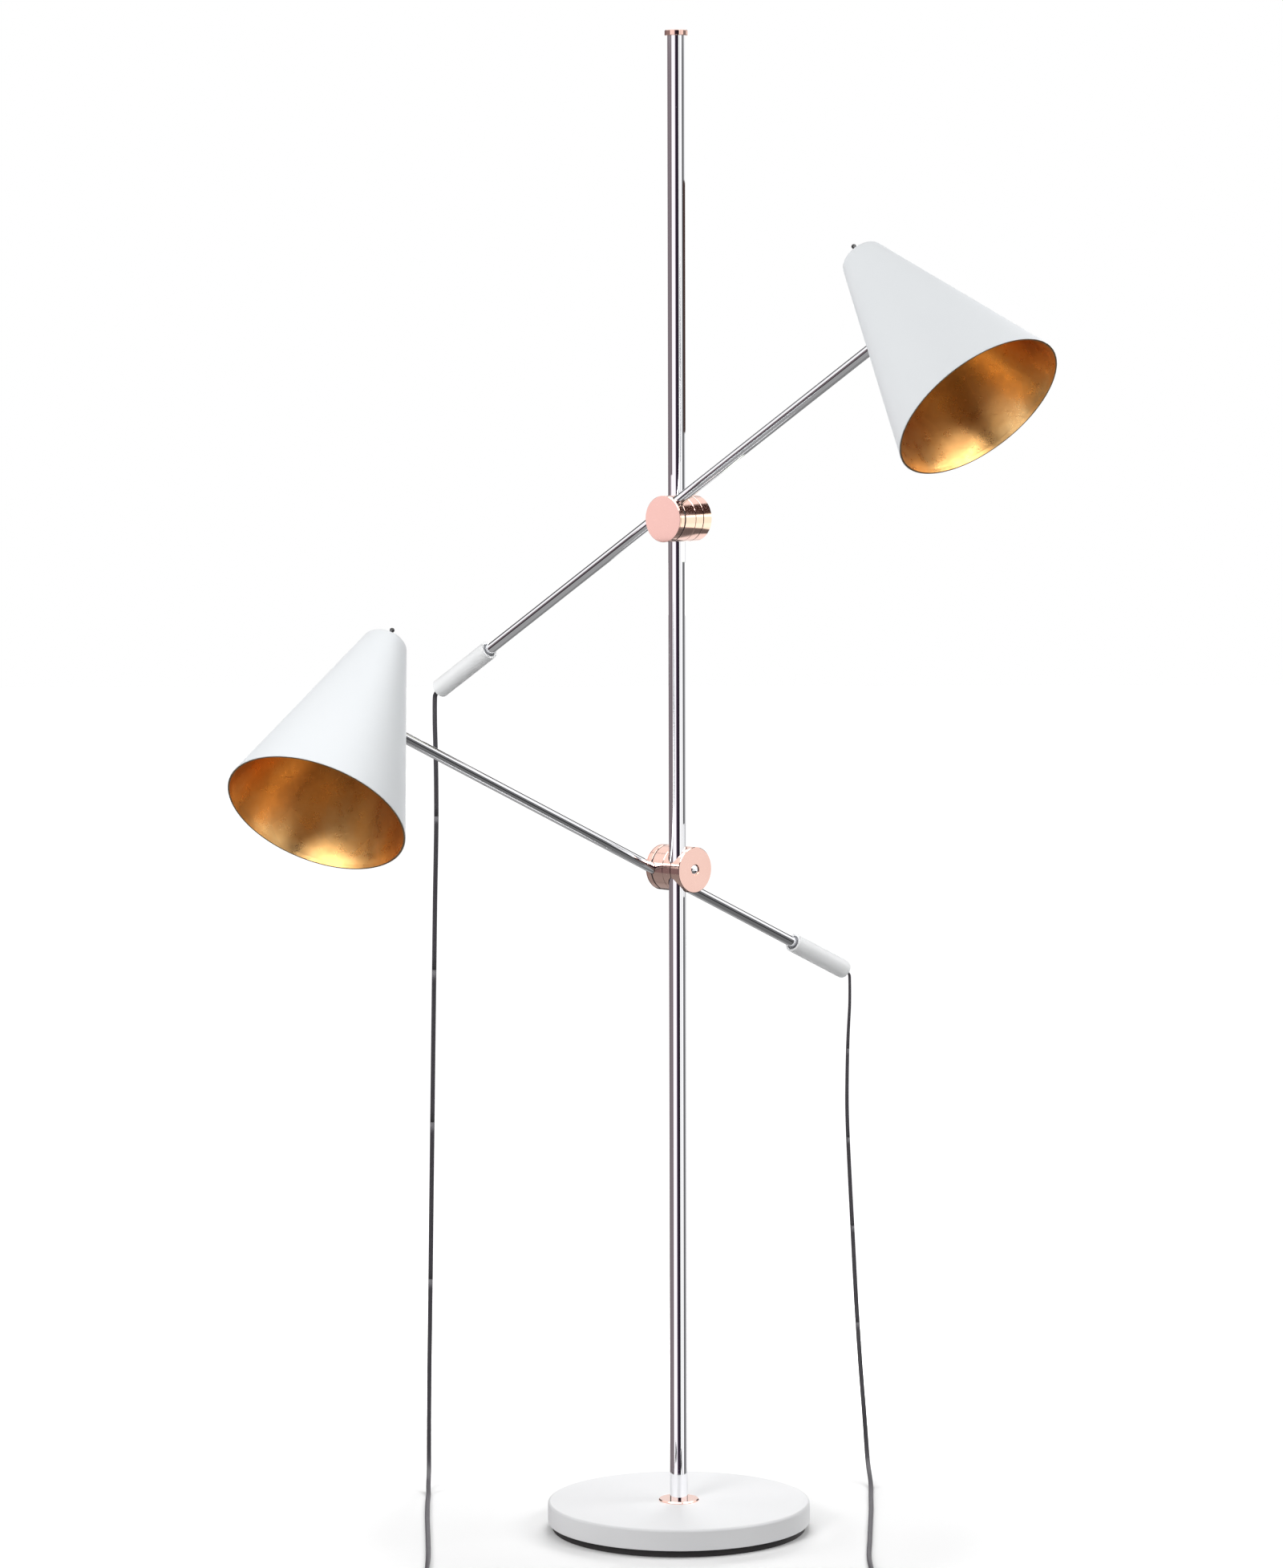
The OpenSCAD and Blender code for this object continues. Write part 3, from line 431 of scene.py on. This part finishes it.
# Gold leaf: sheets of slightly different tone, fine crinkles, rubbed scratches and browner patches
goldValues = dict(bright=(1.0, 0.64, 0.27), mid=(0.96, 0.54, 0.19), dark=(0.80, 0.43, 0.15),
                  patch=11.0, darkAt=0.34, midAt=0.46, brightAt=0.62, metal=0.94,
                  sheet=22.0, sheetTone=0.90, rough=0.29, smoother=0.05, rougher=0.07,
                  ripple=70.0, rippleHeight=0.00016, rippleStrength=0.6,
                  crinkle=260.0, crinkleHeight=0.00008, crinkleStrength=0.8,
                  scratch=26.0, scratchStretch=14.0, scratchTurn=(0.5, 0.3, 0.0), scratchFrom=0.60,
                  scratchTo=0.72, scratchHeight=0.00008, scratchStrength=0.6)


def goldColour(tree, place):
    v = goldValues
    patch = addNode(tree, "ShaderNodeTexNoise", Vector=place, Scale=v["patch"], Detail=7.0, Roughness=0.6)
    ramp = addNode(tree, "ShaderNodeValToRGB", Fac=patch.outputs["Fac"])
    first, final = ramp.color_ramp.elements
    first.position, first.color = v["darkAt"], (*v["dark"], 1)
    final.position, final.color = v["brightAt"], (*v["bright"], 1)
    ramp.color_ramp.elements.new(v["midAt"]).color = (*v["mid"], 1)
    sheets = addNode(tree, "ShaderNodeTexVoronoi", {"feature": "F1"}, Vector=place, Scale=v["sheet"])
    tone = addNode(tree, "ShaderNodeSeparateColor", Color=sheets.outputs["Color"])
    shade = addNode(tree, "ShaderNodeMapRange", Value=tone.outputs[0], From_Min=0.0, From_Max=1.0,
                    To_Min=v["sheetTone"], To_Max=1.0)
    return addNode(tree, "ShaderNodeVectorMath", {"operation": "SCALE"}, i0=ramp.outputs["Color"],
                   Scale=shade.outputs[0]).outputs[0]


def makeGoldLeaf():
    v = goldValues
    material = bpy.data.materials.new("goldLeaf")
    material.use_nodes = True
    tree = material.node_tree
    shader = tree.nodes["Principled BSDF"]
    shader.inputs["Metallic"].default_value = v["metal"]
    place = addNode(tree, "ShaderNodeTexCoord").outputs["Object"]
    tree.links.new(goldColour(tree, place), shader.inputs["Base Color"])
    crinkle = addNode(tree, "ShaderNodeTexNoise", {"noise_type": "RIDGED_MULTIFRACTAL"}, Vector=place,
                      Scale=v["crinkle"], Detail=4.0)
    ripple = addNode(tree, "ShaderNodeTexNoise", Vector=place, Scale=v["ripple"], Detail=4.0, Roughness=0.6)
    stretched = addNode(tree, "ShaderNodeMapping", Vector=place, Scale=(1.0, 1.0, v["scratchStretch"]),
                        Rotation=v["scratchTurn"])
    scratch = addNode(tree, "ShaderNodeTexNoise", Vector=stretched.outputs[0], Scale=v["scratch"],
                      Detail=6.0, Roughness=0.7)
    thin = addNode(tree, "ShaderNodeMapRange", {"interpolation_type": "SMOOTHSTEP"},
                   Value=scratch.outputs["Fac"], From_Min=v["scratchFrom"], From_Max=v["scratchTo"],
                   To_Min=0.0, To_Max=1.0)
    rough = addNode(tree, "ShaderNodeMapRange", Value=ripple.outputs["Fac"], From_Min=0.3, From_Max=0.7,
                    To_Min=v["rough"] - v["smoother"], To_Max=v["rough"] + v["rougher"])
    tree.links.new(rough.outputs[0], shader.inputs["Roughness"])
    low = addNode(tree, "ShaderNodeBump", Strength=v["rippleStrength"], Distance=v["rippleHeight"],
                  Height=ripple.outputs["Fac"])
    mid = addNode(tree, "ShaderNodeBump", Strength=v["crinkleStrength"], Distance=v["crinkleHeight"],
                  Height=crinkle.outputs["Fac"], Normal=low.outputs["Normal"])
    high = addNode(tree, "ShaderNodeBump", Strength=v["scratchStrength"], Distance=v["scratchHeight"],
                   Height=thin.outputs[0], Normal=mid.outputs["Normal"])
    tree.links.new(high.outputs["Normal"], shader.inputs["Normal"])
    return material


materials["goldLeaf"] = makeGoldLeaf()

# Shades: one spun shell each, white outside, a bare edge at the mouth darkened with painted shade, and gold
# inside
shadeValues = dict(mouth=0.0995, top=0.0225, length=0.236, wall=0.0012, edge=0.010, hem=0.004,
                   hemWall=0.0022, lipIn=0.0006, lipUp=0.0004, tip=0.0003, shoulder=0.95, innerTop=0.014,
                   hemSlope=0.002, segments=160, rings=26, outerArc=10, innerArc=8, sharp=35)
materials["shadePaint"] = finish("shadePaint", dict(
    light=(0.79, 0.81, 0.825), dark=(0.765, 0.79, 0.81), driftScale=6.0, rough=0.50, specular=0.35, smudge=0.05,
    grain=1800.0, grainHeight=0.000001))
# The bare edge's dark brown is partly the sheet's own edge and partly painted shade for the edge in shadow
materials["shadedBareEdge"] = finish("shadedBareEdge", dict(
    metal=0.7, light=(0.30, 0.20, 0.10), dark=(0.16, 0.10, 0.05), driftScale=60.0, rough=0.45))


def shadeProfile():  # radius and height down the outside, across the bare edge and back up the inside
    v = shadeValues
    slope = (v["mouth"] - v["top"]) / v["length"]
    angle = math.atan(slope)
    centre = v["top"] + slope * v["edge"] - v["edge"] / math.cos(angle)

    def line(inset, startDepth, endDepth, count):
        off = inset / math.cos(angle)
        return [(v["top"] + slope * z - off, -z) for z in
                (startDepth + (endDepth - startDepth) * i / count for i in range(count + 1))]

    def arc(inset, steps):
        r = v["edge"] - inset
        return [(centre + r * math.cos(t), -v["edge"] + r * math.sin(t)) for t in
                (math.pi / 2 + (angle - math.pi / 2) * i / steps for i in range(steps + 1))]
    outer = [(v["tip"], 0.0), (centre * 0.5, 0.0)] + arc(0, v["outerArc"])
    shoulder = v["edge"] * (1 + math.sin(angle)) * v["shoulder"]
    outer += line(0, shoulder, v["length"] - v["lipUp"], v["rings"])[1:]
    lip = [(v["mouth"] - v["lipIn"], -v["length"])]
    hemInner = v["mouth"] - v["hemWall"] / math.cos(angle)
    edge = [(hemInner, -v["length"])]
    step = [(hemInner - slope * v["hem"], v["hem"] - v["length"]),
            (v["mouth"] - slope * v["hem"] - v["wall"] / math.cos(angle),
             v["hem"] + v["lipUp"] - v["length"])]
    inner = line(v["wall"], v["innerTop"], v["length"] - v["hem"] - v["hemSlope"], v["rings"])[::-1]
    inner += arc(v["wall"], v["innerArc"])[::-1] + [(centre * 0.5, -v["wall"]), (v["tip"], -v["wall"])]
    return outer + lip, edge, step + inner


def makeShade(side):
    outer, edge, inner = shadeProfile()
    profile = outer + edge + inner
    count, ends = shadeValues["segments"], len(outer) - 1
    verts, faces = [], []
    for i in range(count):
        t = 2 * math.pi * i / count
        verts += [Vector((r * math.cos(t), r * math.sin(t), z)) for r, z in profile]
    size = len(profile)
    slots = []
    for i in range(count):
        j = (i + 1) % count
        for k in range(size - 1):
            faces.append((i * size + k, i * size + k + 1, j * size + k + 1, j * size + k))
            slots.append(0 if k < ends else 1 if k == ends else 2)  # paint, bare edge darkened with painted shade, gold
    obj = newObject(f"{side}ShadeShell", verts, faces)
    for name in ("shadePaint", "shadedBareEdge", "goldLeaf"):
        obj.data.materials.append(materials[name])
    for polygon, slot in zip(obj.data.polygons, slots):
        polygon.material_index = slot
    obj.data.set_sharp_from_angle(angle=math.radians(shadeValues["sharp"]))
    obj.data.transform(frames[side]["shade"])
    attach(obj, f"{side}_light")
    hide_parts(f"{side}_shade")


for side in sides:
    makeShade(side)
print("shades made")

# Each carried-over node's finish, and those that both lights have
nodeFinish = {"base_cover": "basePaint", "base_weight": "castIron", "base_pad": "footRubber",
              "rosette": "copper", "pole": "chrome", "pole_insert": "steel", "base_bolt": "steel",
              "top_cap": "copperCap", "coil_ties": "blackPlastic"}
pairFinish = {"pole_liner": "nylon", "pole_jaw_outer": "copper", "pole_jaw_inner": "copper",
              "arm_jaw_inner": "copper", "arm_gasket": "gasket", "arm_jaw_outer": "copper",
              "end_disc": "copper", "clamp_bolt": "chrome", "arm_liner": "nylon", "arm": "chrome",
              "counterweight": "weightPaint", "weight_ring": "greyRing", "gland": "nylon",
              "lock_screw": "chrome", "bracket": "steel", "lamp_holder": "blackPlastic",
              "bulb": "frostedBulb", "switch_body": "steel", "switch_nut": "chrome",
              "toggle": "blackPlastic", "inner_flex": "flexCover", "plug": "flexCover",
              "shade": "shadePaint", "cord": "flexCover", "coil": "flexCover"}
for side in sides:
    nodeFinish.update({f"{side}_{name}": value for name, value in pairFinish.items()})
for name, obj in nodes.items():
    obj.data.materials.clear()
    obj.data.materials.append(materials[nodeFinish[name]])
for piece in cordPieces:
    piece.data.materials.append(materials["flexCover"])
print("finishes set")

# Floor: a wide sheet that throws no light on the lamp, and a small disc round its foot that does
floorValues = dict(size=15.0, disc=0.55, rimPoints=96, planeDrop=0.0006, discDrop=0.0002,
                   colour=(0.97, 0.97, 0.97), rough=0.9, near=0.30, far=0.75)


def makeFloorMaterial():
    material = bpy.data.materials.new("floorPaint")
    material.use_nodes = True
    tree = material.node_tree
    shader = tree.nodes["Principled BSDF"]
    shader.inputs["Base Color"].default_value = (*floorValues["colour"], 1)
    shader.inputs["Roughness"].default_value = floorValues["rough"]
    shader.inputs["Specular IOR Level"].default_value = 0.0
    shader.inputs["Emission Color"].default_value = (1, 1, 1, 1)
    place = addNode(tree, "ShaderNodeTexCoord").outputs["Object"]
    reach = addNode(tree, "ShaderNodeVectorMath", {"operation": "LENGTH"}, i0=place)
    fade = addNode(tree, "ShaderNodeMapRange", {"interpolation_type": "SMOOTHSTEP"},
                   Value=reach.outputs["Value"], From_Min=floorValues["near"], From_Max=floorValues["far"],
                   To_Min=0.0, To_Max=1.0)
    seen = addNode(tree, "ShaderNodeLightPath").outputs["Is Camera Ray"]
    tree.links.new(mathNode(tree, "MULTIPLY", fade.outputs[0], seen), shader.inputs["Emission Strength"])
    return material


def makeFloor():
    v, material = floorValues, makeFloorMaterial()
    half, count = v["size"], v["rimPoints"]
    floor = newObject("floorPlane", [(-half, -half, 0), (half, -half, 0), (half, half, 0), (-half, half, 0)],
                      [(0, 1, 2, 3)], False)
    floor.location.z = -v["planeDrop"]
    floor.visible_diffuse = False
    turns = [2 * math.pi * k / count for k in range(count)]
    disc = newObject("floorDisc", [(v["disc"] * math.cos(t), v["disc"] * math.sin(t), 0) for t in turns],
                     [tuple(range(count))], False)
    disc.location.z = -v["discDrop"]
    for sheet in (floor, disc):
        sheet.data.materials.append(material)
        sheet.visible_glossy = False


makeFloor()
print("floor laid")

# Studio seen only in reflections. Each list goes round the lamp in degrees from the front and fills
# one zone of height; steps gives where each zone starts, with the top box last, and how softly
def grey(level):
    return (level, level, level)


studio = dict(
    strength=1.12, diffuse=0.10, soft=1.6, overhead=4.5, seenAbove=(-95.0, 115.0), sideSoft=0.02,
    below=[(-180, grey(0.36)), (-138, grey(0.30)), (0, grey(0.14)), (138, grey(0.22))],
    line=[(-180, grey(0.02)), (-160, grey(0.28)), (-90, grey(0.02)), (-54, grey(0.22)), (66, grey(0.02)),
          (96, grey(0.32)), (152, grey(0.02))],
    band=[(-180, (0.20, 0.165, 0.18)), (-90, (0.27, 0.23, 0.245)), (-83, (0.12, 0.085, 0.10)),
          (-74, (0.25, 0.20, 0.215)), (-64, (0.98, 0.95, 0.98)), (-19, (0.40, 0.34, 0.40)),
          (-14, (0.09, 0.065, 0.09)), (-9, (0.028, 0.018, 0.032)), (15, (0.009, 0.008, 0.011)),
          (27, grey(1.0)), (42, grey(0.66)), (50, grey(1.0)), (73, (0.14, 0.14, 0.145)),
          (100, (0.24, 0.24, 0.245)), (110, grey(0.50)), (124, grey(0.90))],
    high=[(-180, grey(0.85)), (-170, (0.07, 0.065, 0.07)), (-123, grey(0.95)), (-12, (0.016, 0.009, 0.020)),
          (31, grey(1.0)), (138, grey(0.05)), (170, grey(0.85))],
    steps=dict(line=(-0.50, 0.02), band=(-0.29, 0.02), high=(0.08, 0.02), top=(0.50, 0.05)))


def roundRamp(tree, share, stops):
    made = addNode(tree, "ShaderNodeValToRGB", Fac=share)
    elements = made.color_ramp.elements
    elements[0].position, elements[0].color = 0.0, (*stops[0][1], 1)
    elements[1].position, elements[1].color = 1.0, (*stops[-1][1], 1)
    for (_, before), (degrees, after) in zip(stops, stops[1:]):
        for shift, colour in ((-studio["soft"], before), (studio["soft"], after)):
            elements.new((degrees + shift + 180) / 360).color = (*colour, 1)
    return made.outputs["Color"]


def rise(tree, value, at, soft):
    return addNode(tree, "ShaderNodeMapRange", {"interpolation_type": "SMOOTHSTEP"}, Value=value,
                   From_Min=at - soft, From_Max=at + soft, To_Min=0.0, To_Max=1.0).outputs[0]


def makeWorld():
    world = bpy.data.worlds.new("studio")
    bpy.context.scene.world = world
    world.use_nodes = True
    tree = world.node_tree
    tree.nodes.clear()
    way = addNode(tree, "ShaderNodeTexCoord").outputs["Generated"]
    x, y, height = addNode(tree, "ShaderNodeSeparateXYZ", i0=way).outputs
    turn = mathNode(tree, "ARCTAN2", x, mathNode(tree, "MULTIPLY", y, -1.0))
    share = mathNode(tree, "MULTIPLY_ADD", turn, 0.5 / math.pi, 0.5)
    whole = roundRamp(tree, share, studio["below"])
    for zone in ("line", "band", "high"):
        above = rise(tree, height, *studio["steps"][zone])
        whole = mixColours(tree, above, whole, roundRamp(tree, share, studio[zone]))
    left, right = (rise(tree, share, (edge + 180) / 360, studio["sideSoft"]) for edge in studio["seenAbove"])
    across = mathNode(tree, "SUBTRACT", left, right)
    box = mixColours(tree, across, (*grey(1.0), 1), (*grey(studio["overhead"]), 1))
    whole = mixColours(tree, rise(tree, height, *studio["steps"]["top"]), whole, box)
    light = addNode(tree, "ShaderNodeLightPath")
    bright = addNode(tree, "ShaderNodeBackground", Color=whole, Strength=studio["strength"])
    plain = addNode(tree, "ShaderNodeBackground", Color=(1, 1, 1, 1), Strength=studio["diffuse"])
    white = addNode(tree, "ShaderNodeBackground", Color=(1, 1, 1, 1), Strength=1.0)
    mirrored = addNode(tree, "ShaderNodeMixShader", i0=light.outputs["Is Glossy Ray"], i1=plain.outputs[0],
                       i2=bright.outputs[0])
    final = addNode(tree, "ShaderNodeMixShader", i0=light.outputs["Is Camera Ray"], i1=mirrored.outputs[0],
                    i2=white.outputs[0])
    output = tree.nodes.new("ShaderNodeOutputWorld")
    tree.links.new(final.outputs[0], output.inputs["Surface"])
    world.cycles.sampling_method = "NONE"  # the even world is found by the bounces alone, with less grain


makeWorld()

# Dark card off to the right and behind, mirrored in the top of the upper clamp
darkCard = dict(ends=((0.50, 0.02), (0.28, 0.50)), heights=(1.245, 1.55), colour=(0.06, 0.035, 0.030))


def makeDarkCard():
    (x0, y0), (x1, y1) = darkCard["ends"]
    z0, z1 = darkCard["heights"]
    corners = [(x0, y0, z0), (x1, y1, z0), (x1, y1, z1), (x0, y0, z1)]
    card = newObject("darkCard", corners, [(0, 1, 2, 3)], False)
    material = bpy.data.materials.new("darkCard")
    material.use_nodes = True
    tree = material.node_tree
    tree.nodes.clear()
    glow = addNode(tree, "ShaderNodeEmission", Color=(*darkCard["colour"], 1), Strength=1.0)
    tree.links.new(glow.outputs[0], tree.nodes.new("ShaderNodeOutputMaterial").inputs["Surface"])
    card.data.materials.append(material)
    for ray in ("camera", "diffuse", "shadow", "transmission", "volume_scatter"):
        setattr(card, f"visible_{ray}", False)


makeDarkCard()


def addBox(name, place, toBox, size, energy, mirrored, colour=(1.0, 1.0, 1.0)):
    data = bpy.data.lights.new(name, "AREA")
    data.shape = "RECTANGLE"
    data.size, data.size_y = size
    data.energy, data.color = energy, colour
    obj = bpy.data.objects.new(name, data)
    bpy.context.scene.collection.objects.link(obj)
    obj.location = place
    obj.rotation_euler = toBox.to_track_quat("Z", "Y").to_euler()
    obj.visible_camera = False
    obj.visible_diffuse = not mirrored
    obj.visible_glossy = mirrored


# Soft boxes round the pole at this height: degrees round from the front, degrees up, metres away, watts
lightHeight = 1.05
lights = {
    "boxTop": dict(turn=135, rise=75, away=2.2, energy=12.5, size=1.1),
    "boxFront": dict(turn=-30, rise=5, away=2.2, energy=16.0, size=0.8),
    "boxRight": dict(turn=90, rise=8, away=1.4, energy=9.4, size=0.7),
    "boxLeft": dict(turn=-105, rise=-10, away=1.4, energy=7.3, size=0.7),
    "boxHigh": dict(turn=-40, rise=35, away=1.4, energy=7.3, size=0.7),
    "boxFill": dict(turn=60, rise=25, away=1.4, energy=5.4, size=0.7),
    "boxBack": dict(turn=175, rise=38, away=1.35, energy=8.0, size=0.6, about=0.02),  # round the base
}
for name, v in lights.items():
    turn, rising = math.radians(v["turn"]), math.radians(v["rise"])
    toBox = Vector((math.sin(turn) * math.cos(rising), -math.cos(turn) * math.cos(rising), math.sin(rising)))
    addBox(name, Vector((0, 0, v.get("about", lightHeight))) + v["away"] * toBox, toBox,
           (v["size"], v["size"]), v["energy"], False)

# Small boxes seen only in reflections, set beside each clamp; glow is their brightness
glints = {
    "upperFaceBox": dict(side="upper", out=0.040, turn=-84.5, rise=0.0, away=0.14, lift=0.0075,
                         size=(0.068, 0.075), glow=0.82, colour=(1.0, 0.93, 0.98)),
    "lowerFaceBox": dict(side="lower", out=-0.014, turn=87.5, rise=0.0, away=0.14, lift=-0.004,
                         size=(0.068, 0.085), glow=0.87, colour=(1.0, 1.0, 1.0)),
    "creamBox": dict(side="upper", out=0.020, turn=96.0, rise=0.0, away=0.095, lift=-0.0165,
                     size=(0.085, 0.072), glow=1.22, colour=(0.93, 1.0, 0.85)),
    "blushBox": dict(side="upper", out=0.020, turn=164.0, rise=-34.0, away=0.12, lift=-0.085,
                     size=(0.16, 0.07), glow=0.85, colour=(1.0, 1.0, 1.0)),
}
for name, v in glints.items():
    side = sides[v["side"]]
    heading, turn = math.radians(side["heading"]), math.radians(v["turn"])
    toBox = Vector((math.sin(turn), -math.cos(turn), math.tan(math.radians(v["rise"]))))
    place = (side["flip"] * lamp["poleOffset"] * Vector((math.cos(heading), math.sin(heading), 0))
             + v["out"] * Vector((math.sin(heading), -math.cos(heading), 0)) + v["away"] * toBox)
    place.z = side["z"] + v["lift"]
    addBox(name, place, toBox, v["size"], v["glow"] * math.pi * v["size"][0] * v["size"][1], True, v["colour"])
print("studio lit")
